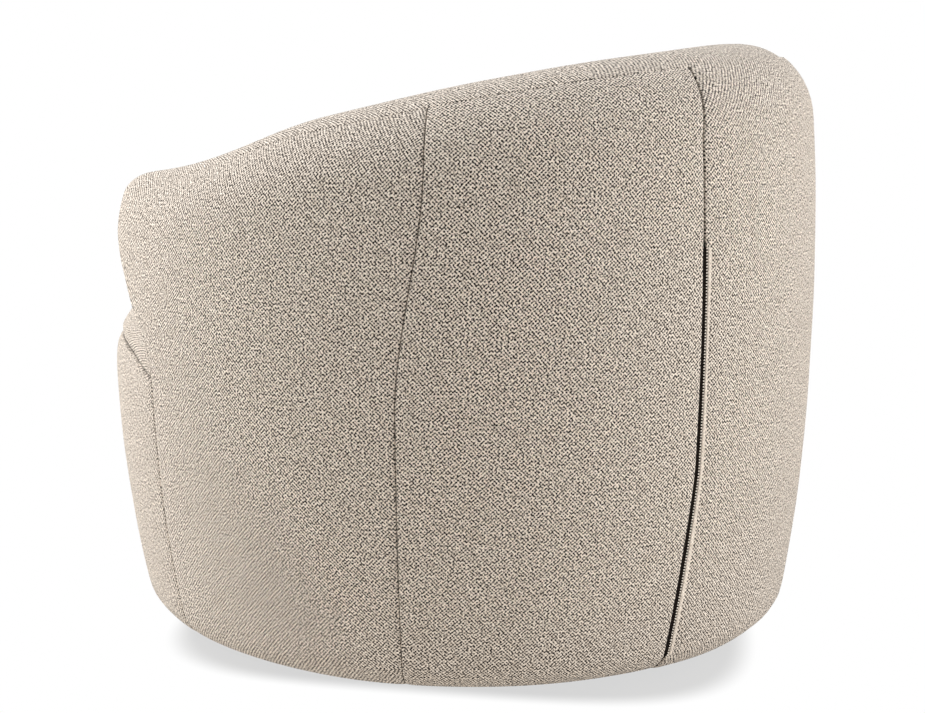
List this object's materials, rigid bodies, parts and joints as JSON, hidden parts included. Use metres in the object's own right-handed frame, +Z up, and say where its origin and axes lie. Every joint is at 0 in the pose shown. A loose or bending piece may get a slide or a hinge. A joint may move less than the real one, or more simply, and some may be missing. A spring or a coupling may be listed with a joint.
{
  "type": "swivel barrel chair",
  "caption": "Round upholstered barrel chair with a curved back that flows into the arms, a loose-look seat cushion, and a hidden ball-bearing swivel base.",
  "frame": {"origin": "on the floor under the swivel axis, at the centre of the body's oval plan", "axes": "+Z up along the swivel axis, the sitter faces -Y, +X is the sitter's left"},
  "size_m": [0.8592, 0.9054, 0.737],
  "materials": {
    "tweed": "heathered basket weave, cream and grey-brown",
    "felt": "matt wadding",
    "foam": "open-cell foam",
    "plywood": "raw plywood",
    "fibreboard": "raw board",
    "webbing": "elastic strap",
    "lining": "thin non-woven",
    "zip": "moulded coil on tape",
    "black_steel": "black powder coat",
    "zinc_steel": "zinc plated",
    "ball_steel": "polished",
    "nylon": "moulded"
  },
  "bodies": {
    "base": {"base_ring": "black_steel", "base_bars": "black_steel", "glide_1": "nylon", "glide_2": "nylon", "glide_3": "nylon", "glide_4": "nylon", "lower_race_plate": "zinc_steel", "pivot_rivet": "zinc_steel"},
    "bearing": {"ball_cage": "nylon", "bearing_ball_1": "ball_steel", "bearing_ball_2": "ball_steel", "bearing_ball_3": "ball_steel", "bearing_ball_4": "ball_steel", "bearing_ball_5": "ball_steel", "bearing_ball_6": "ball_steel"},
    "seat": {"outer_back_cover": "tweed", "rear_side_cover_left": "tweed", "rear_side_cover_right": "tweed", "front_side_cover_left": "tweed", "front_side_cover_right": "tweed", "front_border_cover": "tweed", "inside_back_cover": "tweed", "inside_arm_cover_left": "tweed", "inside_arm_cover_right": "tweed", "arm_front_cover_left": "tweed", "arm_front_cover_right": "tweed", "seat_cushion_cover": "tweed", "front_pad": "felt", "outer_back_pad": "felt", "side_pad_left": "felt", "side_pad_right": "felt", "seat_deck_pad": "felt", "inside_back_foam": "foam", "arm_foam_left": "foam", "arm_foam_right": "foam", "seat_cushion_foam": "foam", "post_1": "plywood", "post_2": "plywood", "post_3": "plywood", "post_4": "plywood", "post_5": "plywood", "post_6": "plywood", "base_hoop": "plywood", "seat_hoop": "plywood", "top_plate": "plywood", "front_rail": "plywood", "mounting_board_left": "plywood", "mounting_board_right": "plywood", "zip_left": "zip", "zip_right": "zip", "inside_board": "fibreboard", "seat_webbing": "webbing", "dust_cover": "lining", "upper_race_plate": "zinc_steel", "plate_bolt_1": "zinc_steel", "plate_bolt_2": "zinc_steel", "plate_bolt_3": "zinc_steel", "plate_bolt_4": "zinc_steel"}
  },
  "joints": [
    {"name": "swivel_turn", "type": "hinge", "parent": "base", "child": "seat", "pos_m": [0, 0, 0.02], "axis": [0, 0, 1], "continuous": true},
    {"name": "cage_turn", "type": "hinge", "parent": "base", "child": "bearing", "pos_m": [0, 0, 0.02], "axis": [0, 0, 1], "continuous": true}
  ],
  "couplings": [
    {"joint": "cage_turn", "follows": "swivel_turn", "ratio": 0.5}
  ]
}
